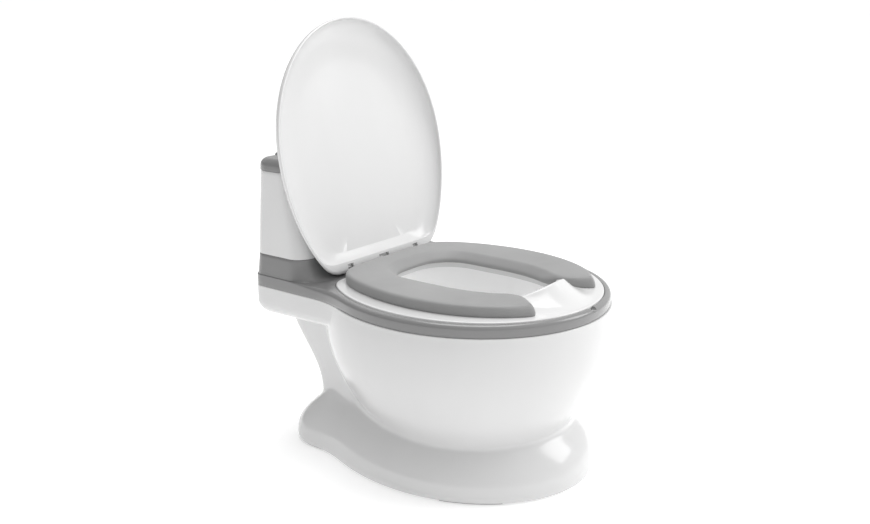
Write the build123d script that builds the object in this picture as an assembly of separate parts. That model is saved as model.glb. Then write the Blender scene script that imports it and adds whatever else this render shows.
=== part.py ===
from build123d import *
import math
import os

# A toddler's potty chair shaped like a small toilet. Millimetres, +Z up, the sitter faces -Y and +X is the
# sitter's left. The drawing frame has Y = 0 near the middle of the bowl; to_row_frame() then moves every
# piece so that the origin lies on the floor under the middle of the whole object.

# ---- levels above the floor
PAD_HEIGHT = 2.0
OVERHANG_Z = 156.0
SEAM_Z = 186.0
LEDGE_Z = 190.0
RIM_TOP_Z = 199.0
SEAT_TOP_Z = 200.0
CUSHION_TOP_Z = 212.0
TANK_SEAM_Z = 222.5
TANK_TOP_Z = 316.3
TANK_LID_TOP_Z = 330.0

# ---- plan sizes
WIDEST_Y = -15.0
RIM_HALF_WIDTH = 146.0
RIM_FRONT_Y = -170.0
RIM_REAR_Y = 150.0
BOWL_BULGE = 3.0
DECK_HALF_WIDTH = 120.0
BODY_REAR_Y = 204.0
FOOT_HALF_WIDTH = 133.0
FOOT_FRONT_Y = -161.0
FOOT_REAR_Y = 173.0
FOOT_WAIST = 109.5
PAD_NEAR_X = 60.0
COLUMN_HALF_WIDTH = 72.0
COLUMN_FRONT_HALF_WIDTH = 98.0
COLUMN_FRONT_Y = 20.0
SEAT_HALF_WIDTH = 137.3
SEAT_FRONT_Y = -164.0
SEAT_REAR_Y = 145.0
SEAT_CUT_Y = 104.3
CUSHION_HALF_WIDTH = 118.5
CUSHION_FRONT_Y = -160.0
CUSHION_REAR_Y = 148.0
CUSHION_CUT_Y = 103.4
CUSHION_MOUTH = ((36.0, -96.0), (72.3, -162.0))
CUSHION_EDGE_R = 3.5
SEAT_HOLE_HALF_WIDTH = 62.0
SEAT_HOLE_FRONT_Y = -124.0
SEAT_HOLE_REAR_Y = 73.0
SEAT_HOLE_WIDEST_Y = -20.0
SEAT_HOLE_CORNER_R = 46.0
CUSHION_OVERHANG = 3.0
GUARD_TOP_Z = 220.6
GUARD_CREST = (
    (-46.0, 204.5), (-34.0, 210.0), (-20.0, 216.6), (0.0, GUARD_TOP_Z),
    (20.0, 216.6), (34.0, 210.0), (46.0, 204.5),
)
GUARD_SCOOP = ((-159.0, 199.5), (-142.0, 204.0), (-124.0, GUARD_TOP_Z))
GUARD_BACK_Y = -95.0
LID_HALF_WIDTH = 137.3
LID_REAR_Y = 160.0

# ---- walls, gaps and fits
WALL = 3.0
LID_WALL = 2.6
TANK_WALL = 2.5
PLAY = 0.6
BORE_PLAY = 0.06

NOTCH_R = 5.0

# ---- lid hinge
LID_AXIS_Y = 113.2
LID_AXIS_Z = 206.5
LID_END_Y = 118.9
LID_PIN_R = 1.75
LID_KNUCKLE_R = 4.6
LID_LUG_R = 4.4
LID_LEAN = 10.4
LID_LUGS = ((-62.0, -54.0), (-8.0, 8.0), (54.0, 62.0))
LID_KNUCKLES = ((-76.0, -40.0), (-22.0, 22.0), (40.0, 76.0))

# ---- lid dome, shut: a rim plane, a crown that rises towards the front, and a rounded edge between them
LID_RIM_Z = 200.8
LID_SLOPE = 0.041
LID_FAR_Y = 469.9
LID_EDGE_WIDTH = 45.0
LID_EDGE_TURNS = (0, 7, 15, 24, 34, 45, 57, 71, 90)
LID_CORNER_R = 18.0
LID_BEVEL = ((112.2, 199.8), (118.8, 206.4), (116.9, 211.5), (104.0, 215.8))
LID_ABOVE_Z = 240.0

# ---- tank and its lid
TANK_FRONT_Y = 129.0
TANK_TOP_FRONT_Y = 152.5
TANK_TOP_REAR_Y = 202.0
TANK_SEAM_HALF_WIDTH = 115.5
TANK_TOP_HALF_WIDTH = 110.3
DECK_SWEEP_R = 22.5
TANK_AXIS_Y = 197.0
TANK_AXIS_Z = 327.0
TANK_KNUCKLE_R = 5.0
TANK_PIN_R = 1.5
TANK_LUG = (57.0, 65.0)
TANK_KNUCKLE = (65.5, 79.0)
BUFFER_X = 60.0
BUFFER_Z = 300.0
BUFFER_R = 6.0
BUFFER_LENGTH = 4.0

# ---- flush sound unit under the tank lid
UNIT_HALF_LENGTH = 58.0
UNIT_FRONT_Y = 163.0
UNIT_REAR_Y = 191.0
UNIT_BOTTOM_Z = 300.0
UNIT_TOP_Z = 325.0
UNIT_WALL = 1.8
UNIT_Y = (UNIT_FRONT_Y + UNIT_REAR_Y) / 2
BOARD_Z = 314.0
BOARD_THICK = 1.6
BUTTON_R = 13.0
BUTTON_TOP_Z = 333.0
BUTTON_STROKE = 2.5
CELL_R = 5.25
CELL_LENGTH = 44.5
CELL_PITCH = 11.5
SPEAKER_R = 11.5
SPEAKER_X = 42.0
GRILLE_PITCH = 3.6
CELL_BAY = (-56.4, -8.0)
COVER_HALF_WIDTH = 12.5
COVER_THICK = 1.6
COVER_SCREW_X = -2.0

# ---- fasteners
SCREW_R = 1.5
SCREW_HEAD_R = 2.9
SCREW_HEAD_HEIGHT = 2.2
SCREW_HOLE_R = 1.56

# ---- bowl and foot side profiles: (height, how far the outline is drawn in)
BOWL_PROFILE = (
    (48, 44), (57, 39), (74, 27.5), (95, 16.5), (116, 7.5), (135, 2.5), (155, 0), (172, 0.2), (186, 2.1)
)
FOOT_PROFILE = ((2, 0.5), (10, 0), (18, 0.5), (28, 4), (40, 13), (48, 21), (57, 29), (64, 40))
COLUMN_PROFILE = ((40, 150), (60, 151), (80, 156), (100, 168), (120, 183), (140, 196), (160, 201))
POT_PROFILE = ((96, 40), (100, 33), (112, 25), (140, 15), (170, 7), (190, 3))

OBJECT_MIDDLE_Y = (BODY_REAR_Y + RIM_FRONT_Y - BOWL_BULGE) / 2


# ---------------------------------------------------------------- drawing helpers
def oval(half_width, front_y, rear_y, widest_y=WIDEST_Y):
    """An egg: half an ellipse in front of the widest line and a longer half behind it."""
    front = EllipticalCenterArc((0, widest_y), half_width, widest_y - front_y, 180, arc_size=180)
    rear = EllipticalCenterArc((0, widest_y), half_width, rear_y - widest_y, 0, arc_size=180)
    return make_face([front.edge(), rear.edge()])


def block_plan(half_width, front_y, rear_y, front_radius, rear_radius):
    """A rectangle with its own corner radius at the front and at the rear."""
    plan = Pos(0, (front_y + rear_y) / 2) * Rectangle(2 * half_width, rear_y - front_y)
    plan = fillet(plan.vertices().sort_by(Axis.Y)[:2], front_radius)
    return fillet(plan.vertices().sort_by(Axis.Y)[-2:], rear_radius)


def cut_oval(half_width, front_y, rear_y, cut_y, radius):
    """An egg cut straight across behind, with rounded corners."""
    egg = oval(half_width, front_y, rear_y)
    keep = Pos(0, (cut_y + front_y - 10) / 2) * Rectangle(400, cut_y - front_y + 10)
    plan = egg & keep
    corners = plan.vertices().filter_by_position(Axis.Y, cut_y - 1, cut_y + 1)
    return fillet(corners, radius)


def raised(z, face):
    return Pos(0, 0, z) * face


def slab(face, low_z, high_z):
    """A plan extruded between two heights."""
    return extrude(raised(low_z, face), high_z - low_z)


def stack(sections, ruled=False):
    """A smooth solid through plan sections, given as (height, face)."""
    return loft([raised(z, face) for z, face in sections], ruled=ruled)


def box_between(low, high):
    size = [end - start for start, end in zip(low, high)]
    middle = [(end + start) / 2 for start, end in zip(low, high)]
    return Pos(*middle) * Box(*size)


def rod_x(radius, x_from, x_to, y, z):
    """A round bar along X."""
    return Pos((x_from + x_to) / 2, y, z) * Rot(0, 90, 0) * Cylinder(radius, x_to - x_from)


def post(radius, x, y, low_z, high_z):
    """A round bar along Z."""
    return Pos(x, y, (low_z + high_z) / 2) * Cylinder(radius, high_z - low_z)


def screw(x, y, head_z, length):
    """A cross-slotted pan-head screw, driven upwards, whose head bears at head_z."""
    head = Pos(0, 0, -SCREW_HEAD_HEIGHT / 2) * Cylinder(SCREW_HEAD_R, SCREW_HEAD_HEIGHT)
    shank = Pos(0, 0, length / 2) * Cylinder(SCREW_R, length)
    slot = Pos(0, 0, -SCREW_HEAD_HEIGHT) * (Box(3.2, 0.8, 1.6) + Box(0.8, 3.2, 1.6))
    return Pos(x, y, head_z) * (head + shank - slot)


def side_extrusion(profile):
    """A profile drawn in the YZ plane, extruded across the whole width."""
    return extrude(Plane.YZ * profile, 200, both=True)


def mirrored(solid):
    """The solid and its mirror image in the YZ plane."""
    return [solid, mirror(solid, Plane.YZ)]


# ---------------------------------------------------------------- body outlines
def body_plan(inset=0.0):
    """The rim seen from above: the bowl's egg running into the straight-sided deck under the tank."""
    bowl = oval(RIM_HALF_WIDTH - inset, RIM_FRONT_Y + inset, RIM_REAR_Y - inset)
    tail = block_plan(DECK_HALF_WIDTH - inset, 0, BODY_REAR_Y - inset, 1, 15 - inset)
    joined = bowl + tail
    waist = joined.vertices().filter_by_position(Axis.Y, 60, 100)
    return fillet(waist, 90)


def foot_plan(inset=0.0):
    """The foot's outline: an egg with a squarer heel."""
    egg = oval(FOOT_HALF_WIDTH - inset, FOOT_FRONT_Y + inset, FOOT_REAR_Y - inset, -2)
    heel = block_plan(FOOT_WAIST - inset, 0, FOOT_REAR_Y - inset, 1, max(4, 40 - inset))
    joined = egg + heel
    waist = joined.vertices().filter_by_position(Axis.Y, 70, 120)
    return fillet(waist, 50)


def seat_plan(inset=0.0):
    """The white seat ring's outline; the rim's opening has the same shape."""
    return cut_oval(
        SEAT_HALF_WIDTH - inset, SEAT_FRONT_Y + inset, SEAT_REAR_Y - inset, SEAT_CUT_Y - inset, 16
    )


def tank_plan(share, inset=0.0):
    """The tank's outline, from its seam with the deck (share 0) to its top (share 1)."""
    half_width = TANK_SEAM_HALF_WIDTH + share * (TANK_TOP_HALF_WIDTH - TANK_SEAM_HALF_WIDTH)
    front_y = TANK_FRONT_Y + share * (TANK_TOP_FRONT_Y - TANK_FRONT_Y)
    rear_y = BODY_REAR_Y - 1 + share * (TANK_TOP_REAR_Y - BODY_REAR_Y + 1)
    front_radius = 20 - 7.5 * share - inset
    rear_radius = 15 + 3 * share - inset
    return block_plan(half_width - inset, front_y + inset, rear_y - inset, front_radius, rear_radius)


def deck_section(z, inset=0.0):
    """The tank's platform at height z, which sweeps forward into the deck in a quarter circle."""
    drop = min(DECK_SWEEP_R, max(0.0, TANK_SEAM_Z - 1 - z))
    sweep = DECK_SWEEP_R - math.sqrt(DECK_SWEEP_R**2 - drop**2)
    share = (z - SEAM_Z) / (TANK_SEAM_Z - SEAM_Z)
    half_width = DECK_HALF_WIDTH + share * (TANK_SEAM_HALF_WIDTH - DECK_HALF_WIDTH)
    front_y = TANK_FRONT_Y - sweep + inset
    rear_y = BODY_REAR_Y - share - inset
    return block_plan(half_width - inset, front_y, rear_y, 20 + sweep - inset, 15 - inset)


def sweep_levels():
    """Heights of the platform's sections, evenly spaced round its quarter-circle sweep."""
    turns = [math.radians(90 - 15 * step) for step in range(7)]
    return [TANK_SEAM_Z - 1 - DECK_SWEEP_R * math.sin(turn) for turn in turns] + [TANK_SEAM_Z]


# ---------------------------------------------------------------- base
def bowl_form(inset=0.0):
    wide = RIM_HALF_WIDTH + BOWL_BULGE - inset
    front = RIM_FRONT_Y - BOWL_BULGE + inset
    rear = RIM_REAR_Y + BOWL_BULGE - inset
    return stack([(z, oval(wide - d, front + d, rear - d)) for z, d in BOWL_PROFILE])


def overhang_form(inset=0.0):
    form = slab(body_plan(inset), OVERHANG_Z + inset, SEAM_Z)
    return fillet(form.edges().group_by(Axis.Z)[0], 13 - inset)


def column_section(rear_y, inset=0.0):
    """A tapered tail: wide at the bowl, narrower behind, with rounded rear corners."""
    wide = COLUMN_FRONT_HALF_WIDTH - inset
    narrow = COLUMN_HALF_WIDTH - inset
    low_y = COLUMN_FRONT_Y
    high_y = rear_y - inset
    outline = Polyline((-wide, low_y), (wide, low_y), (narrow, high_y), (-narrow, high_y), close=True)
    return fillet(make_face(outline).vertices().sort_by(Axis.Y)[-2:], 15 - inset)


def column_form(inset=0.0):
    return stack([(z, column_section(rear_y, inset)) for z, rear_y in COLUMN_PROFILE])


def foot_form(inset=0.0):
    return stack([(z, foot_plan(inset + d)) for z, d in FOOT_PROFILE])


def rim_screw_spots():
    """Where screws join the base to the deck: four round the bowl and two beside the tank."""
    half_width = RIM_HALF_WIDTH - 5
    length = WIDEST_Y - RIM_FRONT_Y - 5
    spots = []
    for angle in (-155, -115, -65, -25):
        turn = math.radians(angle)
        spots.append((half_width * math.cos(turn), WIDEST_Y + length * math.sin(turn)))
    return spots + [(-113, 150), (113, 150)]


def base_outer():
    return bowl_form() + overhang_form() + column_form() + foot_form()


def base_shell():
    outer = base_outer()
    inner = bowl_form(WALL) + overhang_form(WALL) + column_form(WALL) + foot_form(WALL)
    shell = outer - inner
    flange = slab(foot_plan(1) - foot_plan(14), PAD_HEIGHT, PAD_HEIGHT + WALL)
    shell = shell + flange
    for x, y in rim_screw_spots():
        lug = post(7.5, x, y, SEAM_Z - 9, SEAM_Z) & outer
        shell = shell + lug - post(SCREW_HOLE_R, x, y, SEAM_Z - 10, SEAM_Z + 1)
    return shell


def rim_screws():
    return Compound([screw(x, y, SEAM_Z - 9, 17) for x, y in rim_screw_spots()])


def foot_pad(side, low_y, high_y):
    """A strip of rubber under the foot's flange; side is -1 or 1."""
    band = slab(foot_plan(4) - foot_plan(12), 0, PAD_HEIGHT)
    x_from, x_to = sorted((side * PAD_NEAR_X, side * FOOT_HALF_WIDTH))
    return band & box_between((x_from, low_y, 0), (x_to, high_y, PAD_HEIGHT))


# ---------------------------------------------------------------- deck
def top_deck():
    ring = slab(body_plan(), SEAM_Z, RIM_TOP_Z)
    ring = fillet(ring.edges().group_by(Axis.Z)[-1], 5)
    levels = sweep_levels()
    platform = slab(deck_section(RIM_TOP_Z), SEAM_Z, RIM_TOP_Z)
    platform = platform + stack([(z, deck_section(z)) for z in levels], ruled=True)
    hollow = slab(deck_section(RIM_TOP_Z, WALL), SEAM_Z - 1, RIM_TOP_Z - WALL)
    hollow = hollow + stack([(z - WALL, deck_section(z, WALL)) for z in levels], ruled=True)
    deck = ring + platform - hollow
    deck = deck - slab(seat_plan(), LEDGE_Z, RIM_TOP_Z + 1)
    deck = deck - slab(seat_plan(7), SEAM_Z - 1, LEDGE_Z + 1)
    for x_from, x_to in LID_LUGS:
        deck = deck + rod_x(LID_LUG_R, x_from, x_to, LID_AXIS_Y, LID_AXIS_Z)
        low = (x_from, LID_AXIS_Y - LID_LUG_R, RIM_TOP_Z - 2)
        deck = deck + box_between(low, (x_to, LID_AXIS_Y + LID_LUG_R, LID_AXIS_Z))
    deck = deck - rod_x(LID_PIN_R, -63, 63, LID_AXIS_Y, LID_AXIS_Z)
    deck = deck - finger_notch()
    for x, y in rim_screw_spots():
        deck = deck + (post(4, x, y, SEAM_Z, SEAM_Z + 11) & platform)
        deck = deck - post(SCREW_HOLE_R, x, y, SEAM_Z - 1, SEAM_Z + 9)
    for x, y in tank_screw_spots():
        deck = deck - post(SCREW_HOLE_R, x, y, TANK_SEAM_Z - 6, TANK_SEAM_Z + 1)
    return deck


def finger_notch():
    """A half-round channel across the rim, where a finger gets under the lid."""
    length = SEAT_FRONT_Y - RIM_FRONT_Y + 8
    return Pos(0, RIM_FRONT_Y - 2 + length / 2, RIM_TOP_Z + 1) * Rot(90, 0, 0) * Cylinder(NOTCH_R, length)


def lid_hinge_pins():
    return Compound(mirrored(rod_x(LID_PIN_R, 1.0, 61.0, LID_AXIS_Y, LID_AXIS_Z)))


# ---------------------------------------------------------------- tank
def tank_screw_spots():
    return [(x, y) for x in (-80, 80) for y in (150, 185)]


def tank_shell():
    outer = stack([(TANK_SEAM_Z, tank_plan(0)), (TANK_TOP_Z, tank_plan(1))], ruled=True)
    inner_ends = [(TANK_SEAM_Z + WALL, tank_plan(0, TANK_WALL)), (TANK_TOP_Z, tank_plan(1, TANK_WALL))]
    inner = stack(inner_ends, ruled=True)
    shell = outer - inner
    for x, y in tank_screw_spots():
        shell = shell + post(4.5, x, y, TANK_SEAM_Z, TANK_SEAM_Z + 12)
        shell = shell - post(SCREW_HOLE_R, x, y, TANK_SEAM_Z - 1, TANK_SEAM_Z + 10)
    low = (-106.5, TANK_AXIS_Y - 1.5, TANK_TOP_Z - 2.4)
    shell = shell - box_between(low, (106.5, BODY_REAR_Y, TANK_TOP_Z + 1))
    for side in (-1, 1):
        x_from, x_to = sorted((side * TANK_LUG[0], side * TANK_LUG[1]))
        low = (x_from, TANK_AXIS_Y - 4.5, TANK_TOP_Z - 16)
        web = box_between(low, (x_to, TANK_AXIS_Y + 4.5, TANK_AXIS_Z))
        shell = shell + web + rod_x(TANK_KNUCKLE_R - 0.5, x_from, x_to, TANK_AXIS_Y, TANK_AXIS_Z)
        shell = shell - rod_x(TANK_PIN_R, x_from - 1, x_to + 1, TANK_AXIS_Y, TANK_AXIS_Z)
    return shell


def tank_screws():
    return Compound([screw(x, y, TANK_SEAM_Z - WALL - 1, 12) for x, y in tank_screw_spots()])


def tank_buffers():
    """Two rubber buttons on the tank's front that the open lid leans on."""
    share = (BUFFER_Z - TANK_SEAM_Z) / (TANK_TOP_Z - TANK_SEAM_Z)
    face_y = TANK_FRONT_Y + share * (TANK_TOP_FRONT_Y - TANK_FRONT_Y)
    lean = math.degrees(math.atan2(TANK_TOP_FRONT_Y - TANK_FRONT_Y, TANK_TOP_Z - TANK_SEAM_Z))
    button = Pos(0, 0, BUFFER_LENGTH / 2) * Cylinder(BUFFER_R, BUFFER_LENGTH)
    placed = Pos(BUFFER_X, face_y, BUFFER_Z) * Rot(90 - lean, 0, 0) * button
    return Compound(mirrored(placed))


def tank_hinge_pins():
    pin = rod_x(TANK_PIN_R, TANK_LUG[0] + 0.5, TANK_KNUCKLE[1] - 1, TANK_AXIS_Y, TANK_AXIS_Z)
    return Compound(mirrored(pin))


def tank_lid():
    low_z = TANK_TOP_Z + 0.4
    outer = extrude(raised(low_z, tank_plan(1, -0.8)), TANK_LID_TOP_Z - low_z, taper=4)
    outer = fillet(outer.edges().group_by(Axis.Z)[-1], 7.5)
    inner = extrude(raised(low_z, tank_plan(1, 1.8)), TANK_LID_TOP_Z - low_z - 2.6, taper=4)
    inner = fillet(inner.edges().group_by(Axis.Z)[-1], 5)
    lid = outer - inner
    for side in (-1, 1):
        x_from, x_to = sorted((side * TANK_KNUCKLE[0], side * TANK_KNUCKLE[1]))
        web = box_between((x_from, TANK_AXIS_Y - 9, TANK_AXIS_Z - 2), (x_to, TANK_AXIS_Y, TANK_AXIS_Z + 4.5))
        lid = lid + web + rod_x(TANK_KNUCKLE_R, x_from, x_to, TANK_AXIS_Y, TANK_AXIS_Z)
        slot_from, slot_to = sorted((side * (TANK_LUG[0] - PLAY), side * (TANK_LUG[1] + 0.45)))
        low = (slot_from, TANK_AXIS_Y - 6.2, low_z - 1)
        lid = lid - box_between(low, (slot_to, BODY_REAR_Y, TANK_LID_TOP_Z + 1))
        lid = lid - rod_x(TANK_PIN_R + BORE_PLAY, x_from - 1, x_to + 1, TANK_AXIS_Y, TANK_AXIS_Z)
    for x, y in unit_screw_spots():
        lid = lid + post(4, x, y, UNIT_TOP_Z, TANK_LID_TOP_Z - 1.5)
        lid = lid - post(SCREW_HOLE_R, x, y, UNIT_TOP_Z - 1, UNIT_TOP_Z + 3)
    return lid - post(BUTTON_R + PLAY, 0, UNIT_Y, low_z, TANK_LID_TOP_Z + 1)


# ---------------------------------------------------------------- flush sound unit
def unit_screw_spots():
    return [(x, UNIT_Y) for x in (-UNIT_HALF_LENGTH - 6, UNIT_HALF_LENGTH + 6)]


def unit_housing():
    """A tray hung under the tank lid, with a partition beside the cells and a grille under the speaker."""
    end_x = UNIT_HALF_LENGTH
    floor_z = UNIT_BOTTOM_Z + UNIT_WALL
    tray = box_between((-end_x, UNIT_FRONT_Y, UNIT_BOTTOM_Z), (end_x, UNIT_REAR_Y, UNIT_TOP_Z))
    low = (-end_x + UNIT_WALL, UNIT_FRONT_Y + UNIT_WALL, floor_z)
    tray = tray - box_between(low, (end_x - UNIT_WALL, UNIT_REAR_Y - UNIT_WALL, UNIT_TOP_Z + 1))
    low = (CELL_BAY[1], UNIT_FRONT_Y, UNIT_BOTTOM_Z)
    tray = tray + box_between(low, (CELL_BAY[1] + UNIT_WALL, UNIT_REAR_Y, BOARD_Z - 1))
    low = (CELL_BAY[0] + 1, UNIT_Y - COVER_HALF_WIDTH + 1, UNIT_BOTTOM_Z - 1)
    tray = tray - box_between(low, (CELL_BAY[1] - 1, UNIT_Y + COVER_HALF_WIDTH - 1, floor_z + 1))
    tray = tray + post(3.2, COVER_SCREW_X, UNIT_Y, UNIT_BOTTOM_Z, UNIT_BOTTOM_Z + 8)
    tray = tray - post(SCREW_HOLE_R, COVER_SCREW_X, UNIT_Y, UNIT_BOTTOM_Z - 1, UNIT_BOTTOM_Z + 7)
    for x, y in unit_screw_spots():
        side = math.copysign(1, x)
        ear_from, ear_to = sorted((side * (UNIT_HALF_LENGTH - 1), x + side * 5))
        tray = tray + box_between((ear_from, y - 6, UNIT_TOP_Z - 3), (ear_to, y + 6, UNIT_TOP_Z))
        tray = tray - post(SCREW_HOLE_R, x, y, UNIT_TOP_Z - 4, UNIT_TOP_Z + 1)
    for row in range(-2, 3):
        y = UNIT_Y + GRILLE_PITCH * row
        slot = box_between((SPEAKER_X - 8, y - 0.8, UNIT_BOTTOM_Z - 1), (SPEAKER_X + 8, y + 0.8, floor_z + 1))
        tray = tray - slot
    return tray


def sound_board():
    board = box_between((-5, UNIT_FRONT_Y + 3, BOARD_Z), (54, UNIT_REAR_Y - 3, BOARD_Z + BOARD_THICK))
    chip = box_between((18, UNIT_Y - 4, BOARD_Z + BOARD_THICK), (26, UNIT_Y + 4, BOARD_Z + BOARD_THICK + 1.5))
    capacitor = post(3, 34, UNIT_Y + 4, BOARD_Z + BOARD_THICK, BOARD_Z + BOARD_THICK + 6)
    return board + chip + capacitor


def button_switch():
    """The small switch on the board under the button."""
    top = BOARD_Z + BOARD_THICK
    body = box_between((-3, UNIT_Y - 3, top), (3, UNIT_Y + 3, top + 3))
    return body + post(1.6, 0, UNIT_Y, top + 3, top + 4)


def speaker():
    low = UNIT_BOTTOM_Z + UNIT_WALL
    frame = post(SPEAKER_R, SPEAKER_X, UNIT_Y, low, low + 2.4)
    magnet = post(7, SPEAKER_X, UNIT_Y, low + 2.4, low + 6)
    return frame + magnet


def cell_centres():
    z = UNIT_BOTTOM_Z + UNIT_WALL + CELL_R + 0.3
    return [(UNIT_Y - CELL_PITCH / 2, z), (UNIT_Y + CELL_PITCH / 2, z)]


def battery_cells():
    cells = []
    for y, z in cell_centres():
        body = rod_x(CELL_R, -54.5, -54.5 + CELL_LENGTH - 1, y, z)
        nub = rod_x(1.9, -55.5, -54.5, y, z)
        cells.append(body + nub)
    return Compound(cells)


def battery_contacts():
    """Spring plates at both ends of the cells."""
    low_z = UNIT_BOTTOM_Z + UNIT_WALL + 0.5
    plates = []
    for x in (-56.1, -10.4):
        plates.append(box_between((x, UNIT_Y - 10, low_z), (x + 0.5, UNIT_Y + 10, low_z + 9)))
    return Compound(plates)


def battery_cover():
    low = (CELL_BAY[0] + 0.4, UNIT_Y - COVER_HALF_WIDTH, UNIT_BOTTOM_Z - COVER_THICK)
    plate = box_between(low, (COVER_SCREW_X + 4.5, UNIT_Y + COVER_HALF_WIDTH, UNIT_BOTTOM_Z))
    low = (CELL_BAY[0] + 1.4, UNIT_Y - COVER_HALF_WIDTH + 1.5, UNIT_BOTTOM_Z)
    lip = box_between(low, (CELL_BAY[1] - 1.4, UNIT_Y + COVER_HALF_WIDTH - 1.5, UNIT_BOTTOM_Z + 1.2))
    hole = post(SCREW_HOLE_R, COVER_SCREW_X, UNIT_Y, UNIT_BOTTOM_Z - COVER_THICK - 1, UNIT_BOTTOM_Z + 1)
    return plate + lip - hole


def battery_cover_screw():
    return screw(COVER_SCREW_X, UNIT_Y, UNIT_BOTTOM_Z - COVER_THICK, 7)


def unit_screws():
    return Compound([screw(x, y, UNIT_TOP_Z - 3, 5.5) for x, y in unit_screw_spots()])


def button_bezel():
    ring = post(BUTTON_R + 4.5, 0, UNIT_Y, TANK_LID_TOP_Z, TANK_LID_TOP_Z + 1.6)
    ring = chamfer(ring.edges().group_by(Axis.Z)[-1], 0.8)
    sleeve = post(BUTTON_R + PLAY - 0.05, 0, UNIT_Y, TANK_LID_TOP_Z - 4.5, TANK_LID_TOP_Z)
    return ring + sleeve - post(BUTTON_R - 1, 0, UNIT_Y, TANK_LID_TOP_Z - 7, TANK_LID_TOP_Z + 2)


def flush_button():
    """A domed cap with a stem that reaches down to the switch."""
    cap_r = BUTTON_R - 1 - 0.3
    cap = post(cap_r, 0, UNIT_Y, TANK_LID_TOP_Z - 3, BUTTON_TOP_Z)
    cap = fillet(cap.edges().group_by(Axis.Z)[-1], 2.4)
    stem_low = BOARD_Z + BOARD_THICK + 4 + BUTTON_STROKE + 0.2
    return cap + post(2.6, 0, UNIT_Y, stem_low, TANK_LID_TOP_Z - 3)


def button_spring():
    """A coil spring between the switch carrier and the cap."""
    low = BOARD_Z + BOARD_THICK + 0.5
    high = TANK_LID_TOP_Z - 3.6
    path = Pos(0, UNIT_Y, low) * Helix(pitch=(high - low) / 5, height=high - low, radius=5.5)
    section = Plane(path @ 0, z_dir=path % 0) * Circle(0.45)
    return sweep(section, path=path)


# ---------------------------------------------------------------- lid
def lid_form(inset, end_y, corner_radius):
    """The shut lid's dome. Its edge follows a quarter ellipse, which deepens with the crown to the front."""
    far_line = Axis((0, LID_FAR_Y - inset / LID_SLOPE, LID_RIM_Z), (1, 0, 0))
    sections = []
    for turn in LID_EDGE_TURNS:
        share = math.sin(math.radians(turn))
        drawn_in = inset + LID_EDGE_WIDTH * (1 - math.cos(math.radians(turn)))
        half_width = LID_HALF_WIDTH - drawn_in
        plan = cut_oval(half_width, SEAT_FRONT_Y + drawn_in, LID_REAR_Y - inset, end_y, corner_radius)
        tilt = math.degrees(math.atan(LID_SLOPE * share))
        sections.append(raised(LID_RIM_Z, plan).rotate(far_line, -tilt))
    return loft(sections, ruled=True)


def lid_side(drop):
    """The long section that bevels the dome's hinge end; drop moves it inwards."""
    bevel = [(y - drop, z - drop) for y, z in LID_BEVEL]
    front_y = SEAT_FRONT_Y - 5
    corners = [(front_y, bevel[0][1]), *bevel, (bevel[-1][0], LID_ABOVE_Z), (front_y, LID_ABOVE_Z)]
    return side_extrusion(make_face(Polyline(*corners, close=True)))


def lid_shell():
    outer = lid_form(0, LID_END_Y, LID_CORNER_R) & lid_side(0)
    inner_end = LID_END_Y - LID_WALL
    inner = lid_form(LID_WALL, inner_end, LID_CORNER_R - LID_WALL)
    half_width, front_y, rear_y = LID_HALF_WIDTH - LID_WALL, SEAT_FRONT_Y + LID_WALL, LID_REAR_Y - LID_WALL
    mouth_plan = cut_oval(half_width, front_y, rear_y, inner_end, LID_CORNER_R - LID_WALL)
    mouth = slab(mouth_plan, LID_RIM_Z - 1, LID_RIM_Z)
    lid = outer - ((inner + mouth) & lid_side(LID_WALL))
    for x_from, x_to in LID_KNUCKLES:
        lid = lid + rod_x(LID_KNUCKLE_R, x_from, x_to, LID_AXIS_Y, LID_AXIS_Z)
    reach = LID_LUG_R + PLAY
    for x_from, x_to in LID_LUGS:
        low = (x_from - PLAY, LID_AXIS_Y - reach, LID_RIM_Z - 10)
        lid = lid - box_between(low, (x_to + PLAY, LID_END_Y + 1, LID_RIM_Z + 40))
    lid = lid - rod_x(LID_PIN_R + BORE_PLAY, -80, 80, LID_AXIS_Y, LID_AXIS_Z)
    return open_lid(lid)


def open_lid(shape):
    """Swings a piece drawn with the lid shut to the open position."""
    hinge = Axis((0, LID_AXIS_Y, LID_AXIS_Z), (1, 0, 0))
    return shape.rotate(hinge, -(90 + LID_LEAN))


# ---------------------------------------------------------------- seat, cushion, pot
def seat_hole(inset=0.0):
    """The opening in the seat: an oval front and a squarer rear with rounded corners."""
    half_width = SEAT_HOLE_HALF_WIDTH - inset
    widest_y = SEAT_HOLE_WIDEST_Y
    rear_y = SEAT_HOLE_REAR_Y - inset
    length = widest_y - SEAT_HOLE_FRONT_Y - inset
    front = EllipticalCenterArc((0, widest_y), half_width, length, 180, arc_size=180)
    corners = [(half_width, widest_y), (half_width, rear_y), (-half_width, rear_y), (-half_width, widest_y)]
    hole = make_face([front.edge(), *Polyline(*corners).edges()])
    return fillet(hole.vertices().sort_by(Axis.Y)[-2:], SEAT_HOLE_CORNER_R - inset)


def guard_mouth(gap):
    """The wedge between the cushion's lobes, drawn in by gap on both sides."""
    (back, back_y), (front, front_y) = [(x - gap, y) for x, y in CUSHION_MOUTH]
    corners = [(-back, back_y), (back, back_y), (front, front_y), (-front, front_y)]
    return make_face(Polyline(*corners, close=True))


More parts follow.
